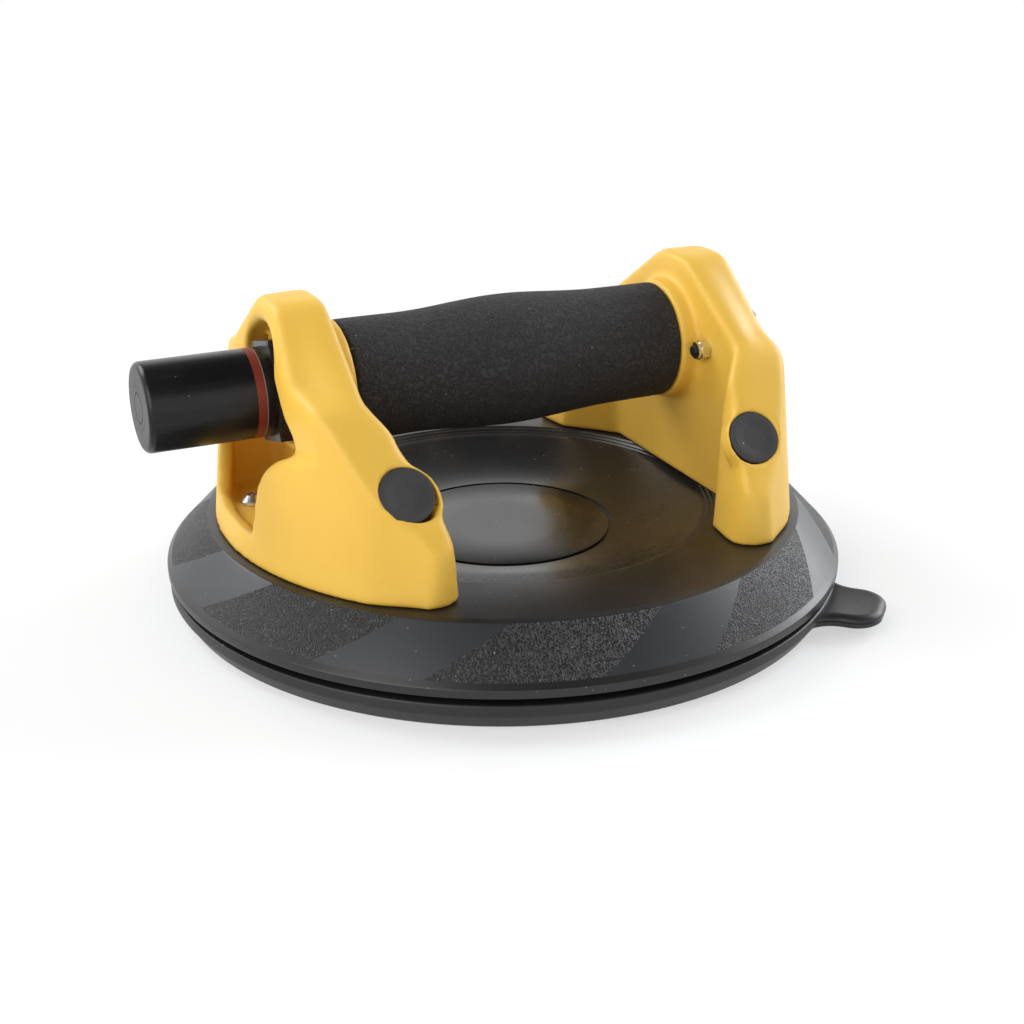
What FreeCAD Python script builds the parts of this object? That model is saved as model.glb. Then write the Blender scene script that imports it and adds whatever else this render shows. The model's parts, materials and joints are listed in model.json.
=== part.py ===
import FreeCAD, Part
import math
import os
from FreeCAD import Vector

# Floor tile suction lifter with a hand pump inside its grip.
# Frame: origin at the centre of the sealing face, +Z up, X along the grip,
# with the pump plunger towards -X. Millimetres throughout.

# ---- driving dimensions -------------------------------------------------

# pad
disc_radius = 105.0
disc_underside = 10.3
disc_border_top = 13.4
cone_edge = 1.5
cone_edge_drop = 0.9
shoulder_radius = 91.7
shoulder_height = 26.5
shoulder_width = 25.0
shoulder_fall = 0.2
dish_step = 1.2
dish_shelf = 3.0
dish_sag = 1.9
dish_floor_radius = 33.4
dish_floor_height = 17.2
dish_groove_width = 1.4
dish_groove_depth = 0.8
neck_inset = 4.5
lip_inset = 0.5
lip_top = 8.2
lip_line = 5.1
lip_step = 0.5
foot_print_inset = 4.0
seal_width = 9.0
seal_ramp = 6.0
seal_ramp_height = 2.2
cavity_depth = 5.0
tab_angle = -45.0
tab_length = 18.6
tab_width = 23.0
tab_top = 7.2
tab_thickness = 3.9
tab_corner = 8.6
tab_edge = 1.8
tab_root = 4.0
tab_root_fillet = 9.0
tab_root_flank = 1.5

# handle
handle_height = 71.0
grip_end_radius = 18.1
grip_belly_radius = 19.9
grip_taper_start = 34.0
tube_radius = 15.0
tube_wall = 1.7
tube_fit = 0.05

# brackets, written for the +X one and mirrored for the other
bracket_rise = 27.2
wall_inset = 2.3
wall_lean = 6.9
wall_thickness = 4.4
arch_inset = 15.4
arch_depth = 13.8
web_lean = 2.4
web_thickness = 2.4
foot_depth = 14.6
foot_lean = 9.0
foot_flare_start = 35.5
foot_flare_end = 51.0
nose_radius = 8.5
nose_room = 0.4
crown_half_width = 8.0
crown_radius = 15.0
knee_radius = 26.0
knee_y = 44.6
knee_rise = 4.0
toe_y = 68.8
toe_drop = 28.5
band_thickness = 8.0
rim_fillet = 2.5
crease_fillet = 4.0
pocket_half_width = 31.0
pocket_floor = 32.0
pocket_corner = 3.0
pocket_spring_drop = 21.0
pocket_shoulder_y = 34.5
pocket_shoulder_drop = 5.0
pocket_shoulder_radius = 5.0
pocket_crown_radius = 12.0
curb_height = 34.5
gate_half_width = 17.0
gate_radius = 2.5
lobe_drop = 8.5
lobe_fillet = 15.0
lobe_fall = 6.0
gate_taper = 2.0
lobe_shoulder_y = 40.0
lobe_shoulder_run = 6.0
lobe_shoulder_rise = 3.0
lobe_shoulder_radius = 4.0
mouth_fillet = 2.5
boss_radius = 18.2
boss_length = 9.6
collar_radius = 18.75
collar_length = 7.5

# screw caps on the feet
cap_radius = 7.9
cap_thickness = 2.4
cap_depth_fit = 0.1
cap_from_foot = 8.8
cap_y = 58.2
cap_recess = 0.3
cap_edge = 0.5
cap_border = 1.6
cap_dish_radius = 3.6
cap_dish = 0.45

# screws
leg_screw_radius = 2.5
leg_head_radius = 4.25
leg_head_height = 5.0
leg_head_fit = 0.4
leg_key_flats = 4.0
leg_key_depth = 2.8
leg_seat = 37.0
leg_screw_depth = 11.0
floor_screw_from_boss = 7.2
floor_screw_y = 14.0
floor_screw_radius = 2.0
floor_head_radius = 3.6
floor_head_height = 2.6
floor_head_edge = 0.9
floor_screw_depth = 9.0
cross_length = 3.6
cross_width = 0.8
cross_depth = 1.4
screw_fit = 0.15
screw_hole_tip = 0.5

# plunger and pump
plunger_radius = 13.0
plunger_wall = 1.8
plunger_stroke = 30.0
plunger_proud = 6.6
plunger_edge = 1.8
plunger_head = 4.0
stop_gap = 0.4
band_gap = 3.2
band_width = 2.6
band_depth = 0.6
band_fit = 0.03
end_disc_radius = 6.4
disc_thickness = 0.6
end_circle_radius = 4.6
end_circle_width = 0.35
end_circle_depth = 0.2
gland_flats = 29.0
gland_corner_radius = 15.9
gland_thickness = 5.2
gland_turn = 15.0
gland_seat_gap = 0.3
gland_spigot = 8.0
gland_spigot_radius = 14.1
gland_fit = 0.08
piston_radius = 13.2
piston_length = 9.0
piston_plug = 6.0
piston_plug_fit = 0.02
piston_flange = 4.6
ring_width = 2.0
ring_depth = 1.2
bore_fit = 0.06
cup_lip = 4.0
cup_lip_width = 1.1
cup_wall = 2.4
cup_web = 1.6
cup_bore = 7.5
spring_wire = 1.3
spring_radius = 9.5
spring_turns = 14
spring_steps = 10

# pump head, valve and hose at the far end
head_plug_length = 12.0
head_thickness = 4.5
head_crown = 0.8
head_crown_radius = 9.0
head_rim = 1.2
stub_radius = 4.5
stub_collar = 1.8
seal_wire = 1.7
seal_inset = 4.0
seal_fit = 0.05
ear_reach = 22.05
ear_radius = 3.4
ear_tilt = 4.0
valve_from_boss = 14.4
valve_radius = 5.5
valve_rise = 6.6
valve_crown = 2.2
valve_skirt = 1.4
valve_bore_rise = 2.0
valve_bore_step = 0.2
valve_seat_depth = 1.4
hose_drop = 7.0
barb_radius = 2.5
barb_step = 0.4
barb_tooth = 1.8
barb_pitch = 2.2
barb_first = 2.6
barb_length = 7.0
barb_sink = 0.5
hose_radius = 4.0
hose_wall = 1.3
port_from_boss = 10.2
port_flange_radius = 4.0
port_height = 4.0
port_bore = 1.2
port_stem_radius = 3.0
filter_thickness = 1.0
hose_straight = 7.0
poppet_travel = 1.2
poppet_radius = 3.4
poppet_thickness = 1.5
poppet_gap = 0.05
poppet_rib = 1.0
poppet_rib_root = 0.9
poppet_spring_room = 4.65
poppet_spring_radius = 2.4
poppet_spring_wire = 0.5
poppet_spring_turns = 4
nut_spot_radius = 3.7
nut_spot_depth = 0.2
flange_screw_radius = 1.5
flange_screw_tip = 1.0
flange_head_radius = 2.8
flange_head_height = 2.2
flange_nut_flats = 5.5
flange_nut_height = 2.9
nut_chamfer_radius = 3.0
nut_collar_radius = 2.6
nut_collar_height = 1.1
nut_fit = 0.05
nut_chamfer_angle = 30.0

fit = 0.1
beyond = 150.0
same_point = 1e-6
on_skin = 0.01

# values that follow from the ones above
dish_radius = shoulder_radius - shoulder_width
neck_radius = disc_radius - neck_inset
lip_radius = disc_radius - lip_inset
bracket_top = handle_height + bracket_rise
knee_z = handle_height + knee_rise
toe_z = handle_height - toe_drop
lobe_height = handle_height - lobe_drop
pocket_shoulder_z = handle_height - pocket_shoulder_drop
pocket_spring = handle_height - pocket_spring_drop
valve_top = handle_height + valve_rise
hose_top = handle_height - hose_drop
foot_print_radius = disc_radius - foot_print_inset
wall_radius = shoulder_radius - wall_inset
arch_outer = wall_radius - arch_inset
web_inner = arch_outer - arch_depth
foot_inner = web_inner - foot_depth
grip_half_length = web_inner - collar_length
boss_face = web_inner + boss_length
cap_x = foot_inner + cap_from_foot
floor_screw_x = boss_face + floor_screw_from_boss
valve_x = boss_face + valve_from_boss
port_x = boss_face + port_from_boss
face_slope = math.atan2(knee_z - toe_z, toe_y - knee_y)
cap_z = knee_z - (cap_y - knee_y) * math.tan(face_slope) - cap_recess / math.cos(face_slope)
lean_height = bracket_top - shoulder_height
tube_bore = tube_radius - tube_wall
piston_start = gland_spigot + stop_gap - boss_face
chamber_end = boss_face - head_plug_length
seal_place = boss_face - seal_inset
valve_seat = boss_face + valve_seat_depth
gland_face = boss_face + gland_thickness
plunger_end = gland_face + plunger_stroke + plunger_proud
band_edge = gland_face + band_gap
poppet_start = valve_seat - poppet_gap - poppet_thickness
poppet_pocket = poppet_start - poppet_travel - poppet_spring_room
nut_seat = web_inner - web_lean * (handle_height - shoulder_height) / lean_height + nut_spot_depth


# ---- helpers --------------------------------------------------------------

def polar(radius, degrees):
    a = math.radians(degrees)
    return radius * math.cos(a), radius * math.sin(a)


def rounded_outline(corners):
    """Closed wire through (u, v, radius) corners, each rounded."""
    arcs = []
    ends = []
    for i, (u, v, radius) in enumerate(corners):
        here = Vector(u, v, 0)
        before = Vector(*corners[i - 1][:2], 0)
        after = Vector(*corners[(i + 1) % len(corners)][:2], 0)
        to_before = (before - here).normalize()
        to_after = (after - here).normalize()
        half = to_before.getAngle(to_after) / 2
        start = here + to_before * (radius / math.tan(half))
        end = here + to_after * (radius / math.tan(half))
        if radius > 0:
            middle = here + (to_before + to_after).normalize() * (radius / math.sin(half) - radius)
            arcs.append([Part.Arc(start, middle, end).toShape()])
        else:
            arcs.append([])
        ends.append((start, end))
    edges = []
    for i, arc in enumerate(arcs):
        here = ends[i][1]
        following = ends[(i + 1) % len(ends)][0]
        edges += arc
        if not here.isEqual(following, same_point):
            edges.append(Part.LineSegment(here, following).toShape())
    return Part.Wire(edges)


def plate(corners, height):
    """Rounded outline in XY, extruded up from z = 0."""
    return Part.Face(rounded_outline(corners)).extrude(Vector(0, 0, height))


def side_plate(corners, x_from, x_to):
    """Rounded outline given as (y, z, radius), extruded along X."""
    solid = plate(corners, x_to - x_from)
    solid.rotate(Vector(), Vector(1, 1, 1), 120)
    solid.translate(Vector(x_from, 0, 0))
    return solid


def revolved(points, axis_x=False):
    """Closed (radius, height) polygon turned about Z, or about X as (radius, x)."""
    wire = Part.makePolygon([Vector(r, 0, h) for r, h in points + points[:1]])
    solid = Part.Face(wire).revolve(Vector(), Vector(0, 0, 1), 360)
    if axis_x:
        solid.rotate(Vector(), Vector(0, 1, 0), 90)
    return solid


def along_x(radius, x_from, x_to, y=0.0, z=None):
    height = handle_height if z is None else z
    return Part.makeCylinder(radius, x_to - x_from, Vector(x_from, y, height), Vector(1, 0, 0))


def ring_x(outer, inner, x_from, x_to):
    return along_x(outer, x_from, x_to).cut(along_x(inner, x_from, x_to))


def upright(radius, x, y, z_from, z_to):
    return Part.makeCylinder(radius, z_to - z_from, Vector(x, y, z_from))


def both_sides(half):
    """Corners of a half outline at -y, and their mirror image at +y."""
    return half + [(-y, z, r) for y, z, r in reversed(half)]


def turned_x(points):
    """(radius, x) polygon turned about the handle's axis."""
    solid = revolved(points, axis_x=True)
    solid.translate(Vector(0, 0, handle_height))
    return solid


def hexagon(flats, height):
    points = [Vector(*polar(flats / math.sqrt(3), 60 * i), 0) for i in range(7)]
    return Part.Face(Part.makePolygon(points)).extrude(Vector(0, 0, height))


def hex_nut(flats, height, chamfer_radius):
    """Hexagon whose outer corners are turned down to the chamfer's radius."""
    across = flats / math.sqrt(3)
    drop = (across - chamfer_radius) * math.tan(math.radians(nut_chamfer_angle))
    crown = revolved([(0, 0), (across, 0), (across, height - drop), (chamfer_radius, height), (0, height)])
    return hexagon(flats, height).common(crown)


def mirrored(shape, normal):
    return shape.mirror(Vector(), normal)


def fused(shapes):
    return shapes[0].multiFuse(shapes[1:]).removeSplitter()


def edges_on(shape, form, wanted):
    """The shape's wanted edges whose middle lies on the skin of another form."""
    skin = Part.makeCompound(form.Faces)
    picked = []
    for edge in shape.Edges:
        middle = Part.Vertex(edge.valueAt((edge.FirstParameter + edge.LastParameter) / 2))
        if wanted(edge) and skin.distToShape(middle)[0] < on_skin:
            picked.append(edge)
    return picked


def save(name, shape):
    solids = shape.Solids
    body = solids[0] if len(solids) == 1 else Part.makeCompound(solids)
    body.exportStep("parts/%s.step" % name)
    print("%-24s solids %d  volume %.0f  valid %s" % (name, len(solids), body.Volume, body.isValid()))


# ---- pad ------------------------------------------------------------------

def pad_disc():
    """Moulded disc: textured cone outside, flat shoulder, dished middle."""
    groove = dish_floor_radius + dish_groove_width
    floor = dish_floor_height
    rim = shoulder_height - shoulder_fall
    shelf = dish_radius - dish_step
    disc = revolved([
        (0, disc_underside), (disc_radius, disc_underside), (disc_radius, disc_border_top),
        (shoulder_radius + cone_edge, shoulder_height - cone_edge_drop),
        (shoulder_radius, shoulder_height), (dish_radius, rim), (shelf, rim - dish_step),
        (shelf - dish_shelf, rim - dish_step - shoulder_fall * 4),
        ((dish_radius + dish_floor_radius) / 2, (shoulder_height + floor) / 2 - dish_sag),
        (groove, floor), (groove, floor - dish_groove_depth),
        (dish_floor_radius, floor - dish_groove_depth), (dish_floor_radius, floor), (0, floor)])
    holes = [upright(port_stem_radius + fit, port_x, 0, cavity_depth, shoulder_height)]
    for sx in (1, -1):
        for sy in (1, -1):
            holes.append(upright(leg_screw_radius + screw_fit, sx * cap_x, sy * cap_y,
                                 shoulder_height - leg_screw_depth - screw_hole_tip, shoulder_height))
            holes.append(upright(floor_screw_radius + screw_fit, sx * floor_screw_x, sy * floor_screw_y,
                                 shoulder_height - floor_screw_depth - screw_hole_tip, shoulder_height))
    return disc.cut(Part.makeCompound(holes))


def release_tab():
    """Strap with a rounded end, drawn along +X and turned to its place."""
    half = tab_width / 2
    wide = half + tab_root_fillet + tab_root_flank
    root = math.sqrt(lip_radius ** 2 - wide ** 2)
    inner = neck_radius - tab_root
    side = [(inner, -wide, 0), (root, -wide, 0), (root, -half, tab_root_fillet),
            (root + tab_length, -half, tab_corner)]
    strap = plate(side + [(x, -y, r) for x, y, r in reversed(side)], tab_thickness)
    rims = [edge for edge in strap.Edges if edge.CenterOfMass.x > root]
    strap = strap.makeFillet(tab_edge, [edge for edge in rims if edge.BoundBox.ZMin > tab_thickness - fit])
    strap.translate(Vector(0, 0, tab_top - tab_thickness))
    strap.rotate(Vector(), Vector(0, 0, 1), tab_angle)
    return strap


def suction_pad():
    """Rubber pad with a sealing lip, a shallow vacuum chamber and a release tab."""
    seal_inner = foot_print_radius - seal_width
    chamfer = lip_radius - lip_step
    ring = revolved([
        (0, cavity_depth), (seal_inner - seal_ramp, cavity_depth),
        (seal_inner - seal_ramp / 3, seal_ramp_height), (seal_inner, 0), (foot_print_radius, 0),
        (chamfer, lip_line), (lip_radius, lip_line), (lip_radius, lip_top),
        (neck_radius, lip_top), (neck_radius, disc_underside), (0, disc_underside)])
    return fused([ring, release_tab()]).cut(upright(port_stem_radius + fit, port_x, 0, 0, disc_underside))


# ---- brackets ---------------------------------------------------------------

def leaning_block(inner, lean, y_from, y_to):
    """Block outboard of a face that leans outward as it rises."""
    top = shoulder_height + 2 * lean_height
    section = [(inner, shoulder_height), (inner + 2 * lean, top), (beyond, top), (beyond, shoulder_height)]
    points = [Vector(x, y_from, z) for x, z in section + section[:1]]
    return Part.Face(Part.makePolygon(points)).extrude(Vector(0, y_to - y_from, 0))


def flared_foot():
    """Foot at -Y, wider than the web and joined to it by an upright flare."""
    run = (foot_flare_end - foot_flare_start) / (web_inner - foot_inner)
    near = foot_flare_start - run * foot_depth
    far = foot_flare_start + run * foot_depth * 2
    corners = [(web_inner + foot_depth, near), (web_inner - foot_depth * 2, far),
               (web_inner - foot_depth * 2, near)]
    flare = Part.Face(Part.makePolygon([Vector(x, -y, 0) for x, y in corners + corners[:1]]))
    block = leaning_block(foot_inner, foot_lean, -shoulder_radius, -near)
    return block.cut(flare.extrude(Vector(0, 0, beyond)))


def wall_cone(inset):
    """Leaning outer wall of the bracket, or its inner face when inset."""
    radius = wall_radius - inset
    cone = Part.makeCone(radius, radius - 2 * wall_lean, 2 * lean_height, Vector(0, 0, shoulder_height))
    cone.rotate(Vector(), Vector(0, 0, 1), 180)
    return cone


def nose_form():
    """Upright form whose corners round the two ends of the bracket."""
    circle = Part.Face(Part.Wire(Part.makeCircle(wall_radius + nose_room)))
    strip = Part.makePlane(beyond, 2 * beyond, Vector(foot_inner - nose_room, -beyond, 0))
    rounded = circle.common(strip).Faces[0].makeOffset2D(-nose_radius).makeOffset2D(nose_radius)
    return rounded.extrude(Vector(0, 0, beyond))


def side_form():
    """Outline of the bracket seen along the grip, extruded through it."""
    low = shoulder_height - band_thickness
    foot_y = knee_y + (knee_z - low) / math.tan(face_slope)
    return side_plate(both_sides([(-foot_y, low, 0), (-knee_y, knee_z, knee_radius),
                                  (-crown_half_width, bracket_top, crown_radius)]), 0, beyond)


def lobe_cut():
    """Everything outboard of the arch, above the rounded lobes and the gate."""
    lobe = lobe_height + lobe_shoulder_rise
    return side_plate(both_sides([
        (-beyond, beyond, 0), (-beyond, lobe, 0), (-lobe_shoulder_y - lobe_shoulder_run, lobe, 0),
        (-lobe_shoulder_y, lobe_height, lobe_shoulder_radius),
        (-gate_half_width - gate_taper, lobe_height - lobe_fall, lobe_fillet),
        (-gate_half_width, curb_height, gate_radius)]), arch_outer, beyond)


def bracket_pocket():
    """Hollow behind the arch, open outboard."""
    start = web_inner + web_thickness
    crown = bracket_top - band_thickness
    outline = both_sides([
        (-pocket_half_width, pocket_floor, pocket_corner), (-pocket_half_width, pocket_spring, 0),
        (-pocket_shoulder_y, pocket_shoulder_z, pocket_shoulder_radius),
        (-crown_half_width, crown, pocket_crown_radius)])
    behind_arch = side_plate(both_sides([(-beyond, 0, 0), (-beyond, beyond, 0)]), 0, arch_outer)
    reach = fused([wall_cone(wall_thickness), behind_arch, lobe_cut()])
    return side_plate(outline, start, beyond).common(reach)


def rounded_bracket():
    """Hollow arch with its creases, rims and mouth rounded."""
    foot = flared_foot()
    body = fused([leaning_block(web_inner, -web_lean, -shoulder_radius, shoulder_radius),
                  foot, mirrored(foot, Vector(0, 1, 0))])
    wall = wall_cone(0)
    nose = nose_form()
    side = side_form()
    for form in (wall, nose, side):
        body = body.common(form).removeSplitter()
    body = body.cut(lobe_cut()).removeSplitter()

    def is_crease(edge):
        centre = edge.CenterOfMass
        leans = edge.Curve.TypeId == "Part::GeomLine" and edge.BoundBox.ZLength > edge.Length / 2
        return leans and centre.x < web_inner and foot_flare_start < abs(centre.y) < foot_flare_end

    def is_rim(edge):
        return edge.BoundBox.ZMax > shoulder_height + fit and edge.BoundBox.YLength > fit

    def is_on_arch(edge):
        box = edge.BoundBox
        return box.XMin > arch_outer - fit and box.XMax < arch_outer + fit and box.ZMin > pocket_spring

    body = body.makeFillet(crease_fillet, [edge for edge in body.Edges if is_crease(edge)])
    rims = edges_on(body, Part.makeCompound([side, nose]), is_rim) + edges_on(body, wall, is_on_arch)
    body = body.makeFillet(rim_fillet, rims)
    pocket = bracket_pocket()
    body = body.cut(pocket).removeSplitter()
    return body.makeFillet(mouth_fillet, edges_on(body, pocket, is_on_arch))


def cap_frame(shape):
    """Move a shape drawn about +Z at the origin onto the front cap seat."""
    shape.rotate(Vector(), Vector(1, 0, 0), math.degrees(face_slope))
    shape.translate(Vector(cap_x, -cap_y, cap_z))
    return shape


def screw_cap():
    """Round plug with a dished face, pressed into the foot."""
    return cap_frame(revolved([
        (0, -cap_thickness), (cap_radius, -cap_thickness), (cap_radius, -cap_edge),
        (cap_radius - cap_edge, 0), (cap_radius - cap_border, 0), (cap_dish_radius, -cap_dish),
        (0, -cap_dish)]))


def foot_holes():
    """Cap seat, counterbore and clearance hole of the front foot."""
    seat = cap_frame(upright(cap_radius + cap_depth_fit, 0, 0, -cap_thickness, shoulder_height))
    bore = upright(leg_head_radius + leg_head_fit, cap_x, -cap_y, leg_seat, cap_z)
    shank = upright(leg_screw_radius + screw_fit, cap_x, -cap_y, 0, leg_seat)
    return fused([seat, bore, shank])


def ear_places():
    """(y, z) of the two screws that hold the pump's head."""
    across, rise = polar(ear_reach, ear_tilt)
    return [(-across, handle_height + rise), (across, handle_height - rise)]


def bracket(pump_head_side):
    """+X bracket; the one at the pump's head also carries the flange screws."""
    boss = along_x(boss_radius, web_inner, boss_face)
    collar = along_x(collar_radius, grip_half_length, web_inner + web_thickness)
    shell = fused([rounded_bracket(), boss, collar])
    front = foot_holes()
    tools = [along_x(tube_radius + tube_fit, 0, beyond), front, mirrored(front, Vector(0, 1, 0))]
    for y in (floor_screw_y, -floor_screw_y):
        tools.append(upright(floor_screw_radius + screw_fit, floor_screw_x, y, 0, pocket_floor))
    if pump_head_side:
        for y, z in ear_places():
            shell = fused([shell, along_x(ear_radius, web_inner, boss_face, y, z)])
            tools.append(along_x(flange_screw_radius + screw_fit, 0, beyond, y, z))
            tools.append(along_x(nut_spot_radius, 0, nut_seat, y, z))
        tools.append(upright(port_stem_radius + fit, port_x, 0, 0, pocket_floor))
    return shell.cut(Part.makeCompound(tools))


# ---- screws -----------------------------------------------------------------

def on_corners(screw, x, y):
    """Four copies of a screw drawn on the Z axis."""
    places = [Vector(sx * x, sy * y, 0) for sx in (1, -1) for sy in (1, -1)]
    return Part.makeCompound([screw.translated(place) for place in places])


def leg_screws():
    """Long socket-head screws under the caps, down into the disc."""
    top = leg_seat + leg_head_height
    key = hexagon(leg_key_flats, leg_key_depth)
    key.translate(Vector(0, 0, top - leg_key_depth))
    head = upright(leg_head_radius, 0, 0, leg_seat, top).cut(key)
    shank = upright(leg_screw_radius, 0, 0, shoulder_height - leg_screw_depth, leg_seat)
    return on_corners(fused([head, shank]), cap_x, cap_y)


def floor_screws():
    """Pan-head screws through the floor of each bracket's hollow."""
    tip = shoulder_height - floor_screw_depth
    top = pocket_floor + floor_head_height
    screw = revolved([
        (0, tip), (floor_screw_radius, tip), (floor_screw_radius, pocket_floor),
        (floor_head_radius, pocket_floor), (floor_head_radius, pocket_floor + floor_head_edge),
        (floor_head_radius / 2, top), (0, top)])
    arm = Part.makeBox(cross_length, cross_width, cross_depth,
                       Vector(-cross_length / 2, -cross_width / 2, top - cross_depth))
    cross = arm.rotated(Vector(), Vector(0, 0, 1), 90)
    return on_corners(screw.cut(fused([arm, cross])), floor_screw_x, floor_screw_y)


def flange_screws():
    """Screws from the pump head's ears through the bracket."""
    screws = []
    tip = nut_seat - flange_nut_height - nut_collar_height - flange_screw_tip
    seat = boss_face + head_thickness
    for y, z in ear_places():
        shank = along_x(flange_screw_radius, tip, seat, y, z)
        screws.append(fused([shank, along_x(flange_head_radius, seat, seat + flange_head_height, y, z)]))
    return Part.makeCompound(screws)


def flange_nuts():
    """Locking nuts with a collar, seated on the bracket's inner face."""
    nut = hex_nut(flange_nut_flats, flange_nut_height, nut_chamfer_radius)
    nut = fused([nut, upright(nut_collar_radius, 0, 0, 0, flange_nut_height + nut_collar_height)])
    nut = nut.cut(upright(flange_screw_radius + nut_fit, 0, 0, 0, beyond))
    nut.rotate(Vector(), Vector(0, 1, 0), -90)
    return Part.makeCompound([nut.translated(Vector(nut_seat, y, z)) for y, z in ear_places()])


# ---- handle and pump --------------------------------------------------------

def pump_tube():
    tube = ring_x(tube_radius, tube_bore, -boss_face, boss_face)
    return tube.cut(along_x(gland_spigot_radius + fit, -boss_face, gland_spigot + gland_seat_gap - boss_face))


def foam_grip():
    """Foam sleeve, swelling in one long arc to its middle."""
    bore = tube_radius + tube_fit
    taper = grip_taper_start
    ends = [(-grip_half_length, bore), (-grip_half_length, grip_end_radius), (-taper, grip_end_radius)]
    left = [Vector(r, 0, x) for x, r in ends]
    right = [Vector(r, 0, -x) for x, r in reversed(ends)]
    swell = Part.Arc(left[-1], Vector(grip_belly_radius, 0, 0), right[0])
    wire = Part.Wire([Part.makePolygon(left), swell.toShape(), Part.makePolygon(right + left[:1])])
    sleeve = Part.Face(wire).revolve(Vector(), Vector(0, 0, 1), 360)
    sleeve.rotate(Vector(), Vector(0, 1, 0), 90)
    sleeve.translate(Vector(0, 0, handle_height))
    return sleeve


def gland_nut():
    """Hexagonal gland that closes the tube's mouth and guides the plunger."""
    head = hex_nut(gland_flats, gland_thickness, gland_corner_radius)
    head.rotate(Vector(), Vector(0, 1, 0), -90)
    head.rotate(Vector(), Vector(1, 0, 0), gland_turn)
    head.translate(Vector(-boss_face, 0, handle_height))
    spigot = along_x(gland_spigot_radius, -boss_face, -boss_face + gland_spigot)
    return fused([head, spigot]).cut(along_x(plunger_radius + gland_fit, -beyond, 0))


def plunger_sleeve():
    """Hollow plunger, closed outboard, with a seat for the red band."""
    inner = plunger_radius - plunger_wall
    groove = plunger_radius - band_depth
    out = -plunger_end
    band = -band_edge
    sleeve = turned_x([
        (0, out), (plunger_radius, out), (plunger_radius, band - band_width), (groove, band - band_width),
        (groove, band), (plunger_radius, band), (plunger_radius, piston_start), (inner, piston_start),
        (inner, out + plunger_head), (0, out + plunger_head)])
    edge = [e for e in sleeve.Edges if e.BoundBox.XMax < out + fit and e.Length > plunger_radius]
    seat = along_x(end_disc_radius + fit, out, out + disc_thickness)
    return sleeve.makeFillet(plunger_edge, edge).cut(seat)


def end_disc():
    """Thin disc let into the plunger's face, with a turned circle on it."""
    out = -plunger_end
    circle = ring_x(end_circle_radius, end_circle_radius - end_circle_width, out, out + end_circle_depth)
    return along_x(end_disc_radius, out, out + disc_thickness).cut(circle)


def indicator_band():
    return ring_x(plunger_radius, plunger_radius - band_depth + band_fit,
                  band_fit - band_edge - band_width, -band_edge - band_fit)


def piston():
    """Piston plugged into the plunger, with a guide ring's groove and a nose for the cup."""
    plug = plunger_radius - plunger_wall - piston_plug_fit
    start = piston_start
    ring = start + (piston_flange - ring_width) / 2
    seat = piston_radius - ring_depth
    return turned_x([
        (0, start - piston_plug), (plug, start - piston_plug), (plug, start), (piston_radius, start),
        (piston_radius, ring), (seat, ring), (seat, ring + ring_width), (piston_radius, ring + ring_width),
        (piston_radius, start + piston_flange), (cup_bore, start + piston_flange),
        (cup_bore, start + piston_length), (0, start + piston_length)])


def guide_ring():
    start = piston_start + (piston_flange - ring_width) / 2
    return ring_x(tube_bore - bore_fit, piston_radius - ring_depth + band_fit,
                  start + band_fit, start + ring_width - band_fit)


def piston_cup():
    """Rubber cup whose lip faces the pump's chamber."""
    start = piston_start + piston_flange
    lip = tube_bore - bore_fit
    inner = cup_bore + band_fit
    return turned_x([
        (inner, start), (lip - cup_lip_width, start), (lip, start + cup_lip),
        (lip - cup_lip_width, start + cup_lip), (lip - cup_wall, start + cup_web), (inner, start + cup_web)])


def coil(start, end, radius, wire, turns):
    """Coil spring of square wire along the handle's axis, in short straight runs."""
    rise = end - start - 1.5 * wire
    steps = turns * spring_steps
    centre = []
    for i in range(steps + 1):
        y, z = polar(radius, 360 * i / spring_steps)
        centre.append(Vector(start + 0.75 * wire + rise * i / steps, y, handle_height + z))
    half = wire / 2
    corners = [Vector(-half, -half, 0), Vector(half, -half, 0), Vector(half, half, 0), Vector(-half, half, 0)]
    section = Part.makePolygon([centre[0] + c for c in corners + corners[:1]])
    return Part.Wire(Part.makePolygon(centre)).makePipeShell([section], True, False, 1)


def return_spring():
    """Spring between the piston's cup and the pump's head."""
    return coil(piston_start + piston_flange + cup_web, chamber_end, spring_radius, spring_wire, spring_turns)


def pump_head():
    """Plug and two-eared flange that close the tube, with the valve's pocket."""
    face = boss_face + head_thickness
    plug = tube_bore - fit
    rim = boss_radius - head_rim
    groove_from = seal_place - seal_wire / 2 - fit
    groove_to = seal_place + seal_wire / 2 + fit
    groove = tube_bore - seal_wire
    head = turned_x([
        (0, chamber_end), (plug, chamber_end), (plug, groove_from), (groove, groove_from),
        (groove, groove_to), (plug, groove_to), (plug, boss_face), (rim, boss_face), (rim, face),
        (head_crown_radius, face + head_crown), (0, face + head_crown)])
    holes = [along_x(stub_radius + fit, poppet_pocket, beyond), along_x(port_bore, 0, valve_seat)]
    for y, z in ear_places():
        bridge = Part.makeBox(head_thickness, ear_reach, 2 * ear_radius, Vector(boss_face, 0, -ear_radius))
        bridge.rotate(Vector(), Vector(1, 0, 0), math.degrees(math.atan2(z - handle_height, y)))
        bridge.translate(Vector(0, 0, handle_height))
        head = fused([head, bridge, along_x(ear_radius, boss_face, face, y, z)])
        holes.append(along_x(flange_screw_radius + screw_fit, 0, beyond, y, z))
    return head.cut(Part.makeCompound(holes))


def head_seal():
    """Seal in the head's groove, of square section set on its corner."""
    half = seal_wire / 2 - seal_fit
    middle = tube_bore - seal_wire / 2
    return turned_x([(middle + half, seal_place), (middle, seal_place + half),
                     (middle - half, seal_place), (middle, seal_place - half)])


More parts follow.
